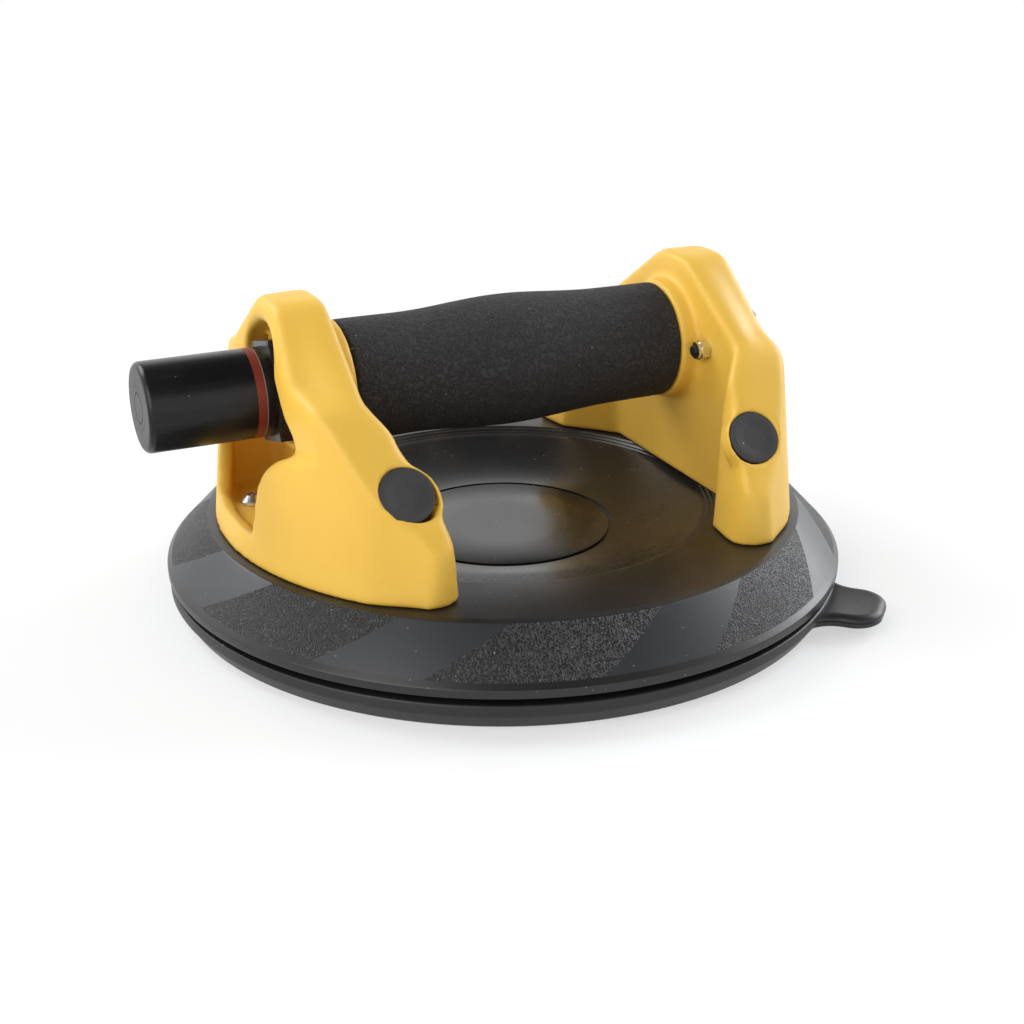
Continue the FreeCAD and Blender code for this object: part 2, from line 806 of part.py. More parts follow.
def barb(root, direction):
    """Hose barb of two teeth, from its root up (1) or down (-1)."""
    shank = barb_radius - barb_step
    first = barb_first
    second = barb_first + barb_pitch
    points = [(0, 0), (shank, 0), (shank, first), (barb_radius, first), (shank, first + barb_tooth),
              (shank, second), (barb_radius, second), (shank, second + barb_tooth),
              (shank, barb_length), (0, barb_length)]
    return revolved([(u, root + direction * v) for u, v in points])


def valve_elbow():
    """Right-angled housing whose end is the valve's seat, with a barb for the hose."""
    face = boss_face + head_thickness + head_crown
    stub = along_x(stub_radius, valve_seat, valve_x)
    collar = along_x(stub_radius + stub_collar, face, face + stub_collar)
    stand = revolved([
        (0, hose_top), (hose_radius, hose_top), (valve_radius, hose_top + valve_skirt),
        (valve_radius, valve_top - valve_crown), (valve_radius - valve_crown, valve_top), (0, valve_top)])
    stand = fused([stand, barb(hose_top + barb_sink, -1)])
    stand.translate(Vector(valve_x, 0, 0))
    down = upright(port_bore, valve_x, 0, curb_height, handle_height + valve_bore_rise)
    across = along_x(port_bore - valve_bore_step, 0, valve_x)
    return fused([stub, collar, stand]).cut(Part.makeCompound([down, across]))


def port_fitting():
    """Flanged barb through the bracket's floor into the pad."""
    flange = upright(port_flange_radius, 0, 0, pocket_floor, pocket_floor + port_height)
    stem = upright(port_stem_radius, 0, 0, cavity_depth + filter_thickness, pocket_floor)
    fitting = fused([flange, barb(pocket_floor + port_height - barb_sink, 1), stem])
    fitting = fitting.cut(upright(port_bore, 0, 0, 0, beyond))
    fitting.translate(Vector(port_x, 0, 0))
    return fitting


def inlet_filter():
    """Felt disc at the port's mouth in the vacuum chamber."""
    return upright(port_stem_radius, port_x, 0, cavity_depth, cavity_depth + filter_thickness)


def hose_path():
    """Vertical at both ends, with an S of two equal arcs between."""
    top = Vector(valve_x, 0, hose_top)
    bottom = Vector(port_x, 0, pocket_floor + port_height)
    start = top - Vector(0, 0, hose_straight)
    end = bottom + Vector(0, 0, hose_straight)
    turn = 2 * math.atan2(start.x - end.x, start.z - end.z)
    radius = (start.z - end.z) / (2 * math.sin(turn))
    middle = (start + end) * 0.5
    sag = Vector(radius * (1 - math.cos(turn / 2)), 0, radius * math.sin(turn / 2))
    return Part.Wire([
        Part.LineSegment(top, start).toShape(), Part.Arc(start, start - sag, middle).toShape(),
        Part.Arc(middle, end + sag, end).toShape(), Part.LineSegment(end, bottom).toShape()])


def vacuum_hose():
    path = hose_path()
    top = path.OrderedVertexes[0].Point
    tubes = []
    for radius in (hose_radius, hose_radius - hose_wall):
        circle = Part.Wire(Part.makeCircle(radius, top, Vector(0, 0, 1)))
        tubes.append(path.makePipeShell([circle], True, False))
    return tubes[0].cut(tubes[1])


def valve_poppet():
    """Disc that lets air out of the pad and not back."""
    pieces = [along_x(poppet_radius, poppet_start, poppet_start + poppet_thickness)]
    root = poppet_radius - poppet_rib_root
    for turn in (0, 90, 180, 270):
        rib = Part.makeBox(poppet_thickness, stub_radius - root, poppet_rib,
                           Vector(poppet_start, root, -poppet_rib / 2))
        rib.rotate(Vector(), Vector(1, 0, 0), turn)
        rib.translate(Vector(0, 0, handle_height))
        pieces.append(rib)
    return fused(pieces)


def poppet_spring():
    return coil(poppet_pocket, poppet_start, poppet_spring_radius, poppet_spring_wire, poppet_spring_turns)


def main():
    os.makedirs("parts", exist_ok=True)
    flip_x = Vector(1, 0, 0)
    flip_y = Vector(0, 1, 0)
    save("pad_disc", pad_disc())
    save("suction_pad", suction_pad())
    save("right_bracket", bracket(True))
    save("left_bracket", mirrored(bracket(False), flip_x))
    front_cap = screw_cap()
    back_cap = mirrored(front_cap, flip_y)
    save("cap_right_front", front_cap)
    save("cap_right_back", back_cap)
    save("cap_left_front", mirrored(front_cap, flip_x))
    save("cap_left_back", mirrored(back_cap, flip_x))
    save("leg_screws", leg_screws())
    save("floor_screws", floor_screws())
    save("pump_tube", pump_tube())
    save("foam_grip", foam_grip())
    save("gland_nut", gland_nut())
    save("pump_head", pump_head())
    save("head_seal", head_seal())
    save("inlet_filter", inlet_filter())
    save("flange_screws", flange_screws())
    save("flange_nuts", flange_nuts())
    save("valve_elbow", valve_elbow())
    save("vacuum_hose", vacuum_hose())
    save("port_fitting", port_fitting())
    save("plunger_sleeve", plunger_sleeve())
    save("plunger_end_disc", end_disc())
    save("indicator_band", indicator_band())
    save("piston", piston())
    save("guide_ring", guide_ring())
    save("piston_cup", piston_cup())
    save("return_spring", return_spring())
    save("valve_poppet", valve_poppet())
    save("poppet_spring", poppet_spring())


main()
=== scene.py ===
import json
import math
import bmesh
import bpy
import numpy as np
from mathutils import Matrix, Vector


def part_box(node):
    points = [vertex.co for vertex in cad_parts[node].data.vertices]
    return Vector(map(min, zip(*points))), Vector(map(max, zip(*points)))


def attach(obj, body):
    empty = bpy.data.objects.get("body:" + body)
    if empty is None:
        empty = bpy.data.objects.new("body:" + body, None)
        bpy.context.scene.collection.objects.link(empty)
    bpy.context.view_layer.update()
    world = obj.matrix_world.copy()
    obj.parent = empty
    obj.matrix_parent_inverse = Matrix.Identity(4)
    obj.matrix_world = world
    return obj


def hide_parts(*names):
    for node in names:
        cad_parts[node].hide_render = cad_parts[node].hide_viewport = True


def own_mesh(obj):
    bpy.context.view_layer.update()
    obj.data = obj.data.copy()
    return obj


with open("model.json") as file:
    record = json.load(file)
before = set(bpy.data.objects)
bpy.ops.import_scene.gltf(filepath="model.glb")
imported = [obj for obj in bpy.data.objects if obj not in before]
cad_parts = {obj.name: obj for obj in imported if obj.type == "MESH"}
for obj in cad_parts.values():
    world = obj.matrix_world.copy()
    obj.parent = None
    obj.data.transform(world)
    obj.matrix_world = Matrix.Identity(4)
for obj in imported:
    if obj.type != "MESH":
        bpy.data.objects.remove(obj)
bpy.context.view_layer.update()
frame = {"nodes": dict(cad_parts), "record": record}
nodes = frame["nodes"]
print("frame loaded with", len(nodes), "nodes")

toMillimetres = 1000.0
cadSharpAngle = math.radians(32)
pieceSharpAngle = math.radians(40)


# a socket that can be used in sums, so that 1 - mask works
class Value:
    def __init__(self, paint, socket):
        self.paint = paint
        self.socket = socket

    def math(self, operation, *others):
        return self.paint.node("ShaderNodeMath", {"operation": operation}, (self,) + others)

    def __add__(self, other):
        return self.math("ADD", other)

    def __sub__(self, other):
        return self.math("SUBTRACT", other)

    def __mul__(self, other):
        return self.math("MULTIPLY", other)

    def __mod__(self, other):
        return self.math("FLOORED_MODULO", other)

    def __lt__(self, other):
        return self.math("LESS_THAN", other)

    def __gt__(self, other):
        return self.math("GREATER_THAN", other)

    def __abs__(self):
        return self.math("ABSOLUTE")

    def __rsub__(self, other):
        return self.paint.node("ShaderNodeMath", {"operation": "SUBTRACT"}, (other, self))

    __radd__ = __add__
    __rmul__ = __mul__


class Paint:
    def __init__(self, name, world=None):
        self.material = world or bpy.data.materials.new(name)
        self.material.use_nodes = True
        self.tree = self.material.node_tree
        self.shader = self.tree.nodes.get("Principled BSDF")
        place = "Generated" if world else "Object"
        self.place = Value(self, self.tree.nodes.new("ShaderNodeTexCoord").outputs[place])

    # any node: its type, its settings, the values or links of its sockets
    def node(self, kind, settings, inputs=(), output=0):
        made = self.tree.nodes.new(kind)
        for key, value in settings.items():
            setattr(made, key, value)
        for key, value in (inputs.items() if isinstance(inputs, dict) else enumerate(inputs)):
            self.plug(made.inputs[key], value)
        return Value(self, made.outputs[output])

    def plug(self, socket, value):
        if isinstance(value, Value):
            self.tree.links.new(value.socket, socket)
        elif isinstance(value, tuple) and len(value) == 3 and len(socket.default_value) == 4:
            socket.default_value = (*value, 1)
        else:
            socket.default_value = value

    def wear(self, **sockets):
        for name, value in sockets.items():
            self.plug(self.shader.inputs[name.replace("_", " ")], value)

    def noise(self, scale, detail, distortion=0.0, place=None):
        return self.node("ShaderNodeTexNoise", {}, {"Vector": place or self.place, "Scale": scale,
                                                    "Detail": detail, "Distortion": distortion})

    # noise drawn out into patches between two of its levels
    def cloud(self, scale, detail, low, high):
        return self.ramp(self.noise(scale, detail), low, high)

    def ramp(self, value, low, high):
        return self.node("ShaderNodeMapRange", {"interpolation_type": "SMOOTHSTEP"},
                         {"Value": value, "From Min": low, "From Max": high})

    # two colours; Mix keeps its colour sockets at these numbers
    def mix(self, factor, first, second):
        return self.node("ShaderNodeMix", {"data_type": "RGBA"}, {0: factor, 6: first, 7: second}, 2)

    def bump(self, height, distance):
        return self.node("ShaderNodeBump", {}, {"Height": height, "Distance": distance})

    # scattered dots: this share of the cells keeps a dot of this size
    def specks(self, scale, size, share):
        settings = {"feature": "F1"}
        sockets = {"Vector": self.place, "Scale": scale}
        near = self.node("ShaderNodeTexVoronoi", settings, sockets, 0)
        pick = self.node("ShaderNodeTexVoronoi", settings, sockets, 1)
        chosen = self.node("ShaderNodeSeparateColor", {}, (pick,)) < share
        return (near < size) * chosen

    def axis(self, number):
        return self.node("ShaderNodeSeparateXYZ", {}, (self.place,), number)

    # 1 for a ray of this kind, such as Is Camera Ray
    def ray(self, kind):
        return self.node("ShaderNodeLightPath", {}, (), kind)


cameraLook = {
    "place": (-0.2010, -0.4416, 0.2174),
    "target": (0.003114, 0.0, 0.02001),
    "lens": 58.12,
    "sensor": 36,
    "nearest": 0.01,
    "roll": -0.129,
}


def makeCamera(look):
    data = bpy.data.cameras.new("camera")
    data.sensor_width = look["sensor"]
    data.lens = look["lens"]
    data.clip_start = look["nearest"]
    camera = bpy.data.objects.new("camera", data)
    bpy.context.collection.objects.link(camera)
    camera.location = look["place"]
    aim = Vector(look["target"]) - camera.location
    turn = aim.to_track_quat("-Z", "Y").to_matrix().to_4x4()
    camera.rotation_euler = turn.to_euler()
    camera.rotation_euler.rotate_axis("Z", math.radians(look["roll"]))
    bpy.context.scene.camera = camera


lightLook = {
    "fill": 0.48, "horizon": 1.30, "ceiling": 0.12, "low": 0.42, "high": 0.75, "aim": (0.0, 0.0, 0.04),
    "key": {"place": (-0.95, -0.45, 0.60), "size": 0.95, "power": 6.8, "tint": (1.0, 0.985, 0.96)},
    "back": {"place": (-0.50, 0.60, 0.75), "size": 0.60, "power": 6.0, "tint": (0.95, 0.975, 1.0)},
    "side": {"place": (1.00, 0.10, 0.50), "size": 0.80, "power": 9.5, "tint": (0.95, 0.975, 1.0)},
}


# white to the eye, and for gloss a pale horizon under a dark ceiling
def makeLights(look):
    world = bpy.data.worlds.new("studio")
    bpy.context.scene.world = world
    world.use_nodes = True
    sky = Paint("sky", world)
    back = world.node_tree.nodes["Background"]
    seen = sky.ray("Is Camera Ray")
    gloss = sky.ray("Is Glossy Ray")
    rise = sky.ramp(sky.axis(2), look["low"], look["high"])
    mirrored = rise * (look["ceiling"] - look["horizon"]) + look["horizon"]
    level = (1 - gloss) * look["fill"] + gloss * mirrored
    sky.plug(back.inputs["Color"], (1.0, 1.0, 1.0))
    sky.plug(back.inputs["Strength"], (1 - seen) * level + seen)
    for name in ("key", "back", "side"):
        lamp = look[name]
        data = bpy.data.lights.new(name, "AREA")
        data.shape = "DISK"
        data.size = lamp["size"]
        data.energy = lamp["power"]
        data.color = lamp["tint"]
        light = bpy.data.objects.new(name, data)
        bpy.context.collection.objects.link(light)
        light.location = lamp["place"]
        aim = Vector(look["aim"]) - light.location
        light.rotation_euler = aim.to_track_quat("-Z", "Y").to_euler()


floorLook = {
    "half": 3.0, "drop": 0.0002, "colour": (0.90, 0.90, 0.90), "rough": 0.9,
    "tint": (0.985, 0.99, 1.0), "white": (1.0, 1.0, 1.0),
    "glowNear": 0.55, "glowFar": 1.0, "near": 0.13, "far": 0.34,
}


# a pale sheet that keeps the shadow and fades into plain white
def makeFloor(look):
    half = look["half"]
    corners = [(-half, -half, 0), (half, -half, 0), (half, half, 0), (-half, half, 0)]
    mesh = bpy.data.meshes.new("floor")
    mesh.from_pydata(corners, [], [(0, 1, 2, 3)])
    floor = bpy.data.objects.new("floor", mesh)
    bpy.context.collection.objects.link(floor)
    floor.location.z = -look["drop"]
    paint = Paint("floor")
    paint.wear(Base_Color=look["colour"], Roughness=look["rough"], Specular_IOR_Level=0.0)
    seen = paint.ray("Is Camera Ray").math("MAXIMUM", paint.ray("Is Glossy Ray"))
    x = paint.axis(0)
    y = paint.axis(1)
    away = paint.ramp((x * x + y * y).math("SQRT"), look["near"], look["far"])
    glow = away * (look["glowFar"] - look["glowNear"]) + look["glowNear"]
    colour = paint.mix(away, look["tint"], look["white"])
    light = paint.node("ShaderNodeEmission", {}, {"Color": colour, "Strength": 1.0})
    sheet = Value(paint, paint.shader.outputs[0])
    surface = paint.node("ShaderNodeMixShader", {}, {0: seen * glow, 1: sheet, 2: light})
    paint.plug(paint.tree.nodes["Material Output"].inputs["Surface"], surface)
    mesh.materials.append(paint.material)


makeCamera(cameraLook)
makeLights(lightLook)
makeFloor(floorLook)
scene = bpy.context.scene
scene.view_settings.view_transform = "Standard"
print("camera, lights and floor made")


# what the plain finishes share; each finish names only what differs
plainLook = {
    "cloudScale": 35.0, "detail": 4.0, "cloudRange": (0.35, 0.70), "metal": 0.0, "gloss": 0.5,
    "grainRange": (0.2, 0.8), "roughRange": 0.08, "dust": 0.0, "dustScale": 420.0, "dustSize": 0.09,
    "dustCover": 0.6, "dustRough": 0.3, "dustColour": (0.55, 0.53, 0.5),
}


# moulded, cast or drawn surface: colour that drifts, fine grain, a little dust
def plainFinish(name, ownLook):
    look = dict(plainLook, **ownLook)
    paint = Paint(name)
    cloud = paint.cloud(look["cloudScale"], look["detail"], *look["cloudRange"])
    colour = paint.mix(cloud, look["colour"], look["shade"])
    dust = paint.specks(look["dustScale"], look["dustSize"], look["dust"])
    colour = paint.mix(dust * look["dustCover"], colour, look["dustColour"])
    grain = paint.noise(look["grainScale"], look["detail"])
    rough = paint.ramp(grain, *look["grainRange"]) * look["roughRange"] + look["rough"]
    paint.wear(Base_Color=colour, Metallic=look["metal"], Specular_IOR_Level=look["gloss"],
               Roughness=rough + dust * look["dustRough"], Normal=paint.bump(grain, look["grainDepth"]))
    return paint.material


yellowLook = {
    "colour": (0.800, 0.490, 0.068), "shade": (0.770, 0.462, 0.058), "rough": 0.42, "grainScale": 1500.0,
    "grainDepth": 0.00002, "dust": 0.010, "dustColour": (0.62, 0.45, 0.2), "gloss": 0.4,
}
capLook = {
    "colour": (0.036, 0.034, 0.036), "shade": (0.046, 0.043, 0.045), "rough": 0.60, "grainScale": 1800.0,
    "grainDepth": 0.00004, "dust": 0.08, "cloudScale": 120.0, "gloss": 0.35,
}
rubberLook = {
    "colour": (0.010, 0.010, 0.012), "shade": (0.015, 0.015, 0.017), "rough": 0.42, "grainScale": 900.0,
    "grainDepth": 0.00002, "dust": 0.06, "gloss": 0.45,
}
bandLook = {
    "colour": (0.180, 0.015, 0.006), "shade": (0.140, 0.012, 0.005), "rough": 0.45, "grainScale": 900.0,
    "grainDepth": 0.00001, "dust": 0.03,
}
glandLook = {
    "colour": (0.012, 0.012, 0.012), "shade": (0.022, 0.020, 0.019), "rough": 0.22, "grainScale": 500.0,
    "grainDepth": 0.00001, "dust": 0.04,
}
zincLook = {
    "colour": (0.86, 0.86, 0.87), "shade": (0.78, 0.78, 0.79), "rough": 0.30, "grainScale": 900.0,
    "grainDepth": 0.00002, "metal": 1.0, "cloudScale": 200.0,
}
blackScrewLook = {
    "colour": (0.030, 0.030, 0.032), "shade": (0.05, 0.05, 0.05), "rough": 0.35, "grainScale": 900.0,
    "grainDepth": 0.00002, "metal": 0.6,
}
tubeLook = {
    "colour": (0.60, 0.60, 0.62), "shade": (0.52, 0.52, 0.54), "rough": 0.28, "grainScale": 700.0,
    "grainDepth": 0.00001, "metal": 1.0,
}
springLook = {
    "colour": (0.55, 0.54, 0.52), "shade": (0.45, 0.44, 0.42), "rough": 0.20, "grainScale": 900.0,
    "grainDepth": 0.00001, "metal": 1.0,
}
hoseLook = {
    "colour": (0.028, 0.028, 0.029), "shade": (0.040, 0.040, 0.040), "rough": 0.50, "grainScale": 900.0,
    "grainDepth": 0.00003, "dust": 0.06,
}
fittingLook = {
    "colour": (0.030, 0.030, 0.031), "shade": (0.045, 0.044, 0.043), "rough": 0.32, "grainScale": 1100.0,
    "grainDepth": 0.00002, "dust": 0.04,
}
nylonLook = {
    "colour": (0.72, 0.70, 0.64), "shade": (0.64, 0.62, 0.56), "rough": 0.40, "grainScale": 900.0,
    "grainDepth": 0.00002,
}
feltLook = {
    "colour": (0.62, 0.60, 0.55), "shade": (0.50, 0.48, 0.44), "rough": 0.90, "grainScale": 1600.0,
    "grainDepth": 0.00020,
}


# the disc: wrinkle texture broken by eight slanted smooth sectors, on the cone only
# radii are in millimetres and angles in degrees
# noise is (scale, detail, low, high) and specks are (scale, size, share)
discLook = {
    "black": (0.011, 0.010, 0.010), "brown": (0.034, 0.025, 0.017), "paintedSheenSlate": (0.021, 0.023, 0.027),
    "paintedValleyShade": (0.004, 0.004, 0.005), "paintedCrestHighlight": (0.044, 0.044, 0.048), "gloss": 0.50,
    "rim": 105.0, "outer": 103.5, "inner": 92.0, "shoulder": 91.7, "step": 66.7, "dish": 62.5,
    "pitch": 45.0, "rimStart": 169.0, "rimWidth": 18.0, "shoulderStart": 183.5, "shoulderWidth": 18.5,
    "worm": 1350.0, "wormMiddle": 0.5, "wormWidth": 0.16, "wormDepth": 0.00034,
    "cloud": (28.0, 5.0, 0.40, 0.72), "stain": (60.0, 6.0, 0.48, 0.72), "fine": (260.0, 5.0),
    "stainCover": 0.4, "stainAtStep": 0.5, "stepReach": (0.5, 9.0),
    "dust": (560.0, 0.12, 0.12), "dustCover": 0.5, "dustColour": (0.35, 0.32, 0.28),
    "motes": (210.0, 0.055, 0.07), "moteCover": 0.7, "moteColour": (0.50, 0.46, 0.40),
    "crumbs": (900.0, 0.20, 0.14), "crumbCover": 0.6, "crumbColour": (0.16, 0.10, 0.06),
    "rough": 0.30, "roughCloud": 0.08, "roughFine": 0.05, "roughSector": 0.06, "roughTexture": 0.16,
    "roughDust": 0.2, "dishPolish": 0.10,
}


def discFinish(look):
    paint = Paint("wrinkledDisc")
    x = paint.axis(0) * toMillimetres
    y = paint.axis(1) * toMillimetres
    radius = (x * x + y * y).math("SQRT")
    angle = y.math("ARCTAN2", x) * (180 / math.pi)
    inward = paint.node("ShaderNodeMapRange", {}, {"Value": radius, "From Min": look["rim"],
                                                   "From Max": look["shoulder"]})
    slant = look["shoulderStart"] - look["rimStart"]
    phase = (angle - inward * slant - look["rimStart"]) % look["pitch"]
    smooth = phase < inward * (look["shoulderWidth"] - look["rimWidth"]) + look["rimWidth"]
    cone = (radius > look["inner"]) * (radius < look["outer"])
    texture = (1 - smooth) * cone
    smoothCone = smooth * cone
    topOnly = radius < look["inner"]
    inDish = radius < look["dish"]
    nearStep = 1 - paint.ramp(abs(radius - look["step"]), *look["stepReach"])
    worm = abs(paint.noise(look["worm"], 0.0) - look["wormMiddle"])
    ridge = 1 - paint.ramp(worm, 0.0, look["wormWidth"])
    cloud = paint.cloud(*look["cloud"])
    stain = paint.cloud(*look["stain"])
    fine = paint.noise(*look["fine"])
    stained = stain * topOnly * (nearStep * look["stainAtStep"] + look["stainCover"])
    colour = paint.mix(stained, look["black"], look["brown"])
    # the smooth sectors are painted slate grey: a painted sheen standing in for their reflection of the room
    colour = paint.mix(smoothCone, colour, look["paintedSheenSlate"])
    # wrinkle valleys painted darker as painted shade, and wrinkle crests painted lighter as painted highlight
    colour = paint.mix(texture, colour, look["paintedValleyShade"])
    colour = paint.mix(texture * ridge, colour, look["paintedCrestHighlight"])
    dust = paint.specks(*look["dust"])
    motes = paint.specks(*look["motes"])
    crumbs = paint.specks(*look["crumbs"]) * nearStep * (1 - texture)
    colour = paint.mix(dust * look["dustCover"], colour, look["dustColour"])
    colour = paint.mix(motes * look["moteCover"], colour, look["moteColour"])
    colour = paint.mix(crumbs * look["crumbCover"], colour, look["crumbColour"])
    rough = look["rough"] + cloud * look["roughCloud"] + fine * look["roughFine"]
    rough = rough + smoothCone * look["roughSector"] + texture * look["roughTexture"]
    rough = rough + dust * look["roughDust"] - inDish * look["dishPolish"]
    paint.wear(Base_Color=colour, Roughness=rough, Specular_IOR_Level=look["gloss"],
               Normal=paint.bump(texture * ridge, look["wormDepth"]))
    return paint.material


# closed-cell foam: leathery creases painted darker as painted shade, raised skin painted lighter as painted
# highlight, with pale specks
foamLook = {
    # the crease colour is painted shade and the high colour is a painted highlight on the raised skin
    "paintedCreaseShade": (0.012, 0.011, 0.012), "high": (0.034, 0.033, 0.035), "gloss": 0.35,
    "rough": 0.66, "roughPore": 0.12, "crease": (650.0, 3.0, 0.7), "creaseMiddle": 0.5, "creaseWidth": 0.12,
    "creaseShare": 0.7, "creaseDepth": 0.00055, "pore": (2200.0, 2.0), "poreShare": 0.3,
    "dust": (420.0, 0.10, 0.035), "dustCover": 0.6, "dustColour": (0.42, 0.40, 0.38),
}


def foamFinish(look):
    paint = Paint("foamSkin")
    crease = paint.ramp(abs(paint.noise(*look["crease"]) - look["creaseMiddle"]), 0.0, look["creaseWidth"])
    pore = paint.noise(*look["pore"])
    height = crease * look["creaseShare"] + pore * look["poreShare"]
    # painted shade in the creases and painted highlight on the raised skin, mixed by the bump's height
    colour = paint.mix(height, look["paintedCreaseShade"], look["high"])
    dust = paint.specks(*look["dust"])
    colour = paint.mix(dust * look["dustCover"], colour, look["dustColour"])
    paint.wear(Base_Color=colour, Roughness=look["rough"] + pore * look["roughPore"],
               Specular_IOR_Level=look["gloss"], Normal=paint.bump(height, look["creaseDepth"]))
    return paint.material


# locking nut: bright flats, dark insert at the domed end; places are in millimetres, depths in metres
nutLook = {
    "bright": (0.70, 0.69, 0.66), "insert": (0.030, 0.034, 0.045), "rough": 0.16, "roughCloud": 0.12,
    "sideways": 22.0, "axis": 71.0, "rise": 1.54, "insertRadius": 1.95, "insertDepth": (0.0011, 0.0013),
    "cloud": (300.0, 3.0), "grain": (900.0, 3.0), "grainDepth": 0.00002,
}


def nutFinish(look):
    paint = Paint("lockingNut")
    y = paint.axis(1) * toMillimetres
    z = paint.axis(2) * toMillimetres
    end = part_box("flange_nuts")[0].x
    nearDepth, farDepth = look["insertDepth"]
    body = paint.ramp(paint.axis(0), end + nearDepth, end + farDepth)
    off = abs(abs(y) - look["sideways"])
    up = abs(z - look["axis"]) - look["rise"]
    core = (off * off + up * up).math("SQRT") < look["insertRadius"]
    dark = (1 - body) * core
    rough = paint.noise(*look["cloud"]) * look["roughCloud"] + look["rough"]
    paint.wear(Base_Color=paint.mix(dark, look["bright"], look["insert"]), Metallic=1 - dark, Roughness=rough,
               Normal=paint.bump(paint.noise(*look["grain"]), look["grainDepth"]))
    return paint.material


# plunger sleeve: fine lengthwise scratches, a pale line beside the band and a greyer end face
plungerLook = {
    "colour": (0.004, 0.004, 0.005), "shade": (0.006, 0.006, 0.007), "gloss": 0.30,
    "rough": 0.27, "roughCloud": 0.06, "roughFace": 0.16, "cloud": (60.0, 4.0, 0.35, 0.7),
    "lineFrom": -78.2, "lineTo": -77.95, "lineColour": (0.20, 0.20, 0.21),
    "faceAt": -111.5, "faceColour": (0.060, 0.058, 0.060),
    "stretch": (6.0, 90.0, 90.0), "scratch": (9.0, 6.0, 0.0), "scratchRange": (0.58, 0.78),
    "scratchCover": 0.15, "scratchColour": (0.05, 0.05, 0.055), "scratchDepth": 0.00001,
    "dust": (420.0, 0.08, 0.05), "dustCover": 0.4, "dustColour": (0.3, 0.27, 0.24),
}


def plungerFinish(look):
    paint = Paint("plungerSleeve")
    x = paint.axis(0) * toMillimetres
    line = (x > look["lineFrom"]) * (x < look["lineTo"])
    face = x < look["faceAt"]
    stretched = paint.node("ShaderNodeVectorMath", {"operation": "MULTIPLY"}, (paint.place, look["stretch"]))
    scratch = paint.ramp(paint.noise(*look["scratch"], stretched), *look["scratchRange"])
    cloud = paint.cloud(*look["cloud"])
    colour = paint.mix(cloud, look["colour"], look["shade"])
    colour = paint.mix(scratch * look["scratchCover"], colour, look["scratchColour"])
    colour = paint.mix(face, colour, look["faceColour"])
    colour = paint.mix(line, colour, look["lineColour"])
    dust = paint.specks(*look["dust"])
    colour = paint.mix(dust * look["dustCover"], colour, look["dustColour"])
    rough = cloud * look["roughCloud"] + look["rough"] + face * look["roughFace"]
    paint.wear(Base_Color=colour, Roughness=rough, Specular_IOR_Level=look["gloss"],
               Normal=paint.bump(scratch, look["scratchDepth"]))
    return paint.material


finishes = {
    "moulded_disc": discFinish(discLook),
    "pad_rubber": plainFinish("padRubber", rubberLook),
    "yellow_plastic": plainFinish("yellowMoulding", yellowLook),
    "cap_plastic": plainFinish("capPlastic", capLook),
    "zinc_screw": plainFinish("zincScrew", zincLook),
    "black_screw": plainFinish("blackScrew", blackScrewLook),
    "nut_steel": nutFinish(nutLook),
    "grip_foam": foamFinish(foamLook),
    "tube_aluminium": plainFinish("drawnTube", tubeLook),
    "gland_black": plainFinish("glandBlack", glandLook),
    "head_plastic": plainFinish("pumpHead", fittingLook),
    "plunger_plastic": plungerFinish(plungerLook),
    "red_band": plainFinish("redBand", bandLook),
    "hose_rubber": plainFinish("hoseRubber", hoseLook),
    "fitting_plastic": plainFinish("hoseFitting", fittingLook),
    "cup_rubber": plainFinish("pistonCup", rubberLook),
    "spring_steel": plainFinish("springSteel", springLook),
    "guide_white": plainFinish("guideNylon", nylonLook),
    "felt": plainFinish("inletFelt", feltLook),
}
slotOf = {part["node"]: part["material_slot"] for part in frame["record"]["subparts"]}
for name, node in nodes.items():
    node.data.materials.clear()
    node.data.materials.append(finishes[slotOf[name]])
    for face in node.data.polygons:
        face.material_index = 0
    node.data.set_sharp_from_angle(angle=cadSharpAngle)
print("finishes made")


def addPiece(name, mesh, body, slot):
    piece = bpy.data.objects.new(name, mesh)
    bpy.context.collection.objects.link(piece)
    mesh.materials.clear()
    mesh.materials.append(finishes[slot])
    for face in mesh.polygons:
        face.use_smooth = True
        face.material_index = 0
    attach(piece, body)
    return piece


# the remesh and the cap rims are in metres; from axis on, the moulding's corrections are in millimetres
mouldLook = {
    "voxel": 0.0008, "rounds": 16, "pull": 0.50, "capPlace": (0.0544, 0.0582, 0.0562), "capTilt": 53.3,
    "ringTurns": 72, "ringInner": 0.0080, "ringOuter": 0.0090, "ringFoot": 0.0092, "ringProud": 0.0007,
    "ringDeep": 0.0060,
    "axis": 71.0, "pinned": (27.0, 30.5), "limb": 9.0, "reach": 3.2, "toe": 3.2, "knee": 2.4,
    "limbHeights": (46, 56, 63, 70, 79, 88, 97), "limbShares": (0, 0.2, 0.75, 1, 0.9, 0.5, 0.1),
    "limbStart": (63, 70), "limbEnd": (76, 84), "limbRing": (19, 23), "limbEdge": (35, 43),
    "reachEdge": (33, 45), "innerEdge": (58, 68), "toeTop": (46, 60), "toeSide": (50, 62),
    "kneeFoot": (58, 68), "kneeTop": (76, 84), "kneeSide": (36, 44),
}
rightMouldLook = dict(mouldLook, toe=1.3, limb=6.0, reach=0.0, knee=0.6)


# 0 below this range, 1 above it, smooth between
def smoothShare(value, bounds):
    low, high = bounds
    share = np.clip((value - low) / (high - low), 0, 1)
    return share * share * (3 - 2 * share)


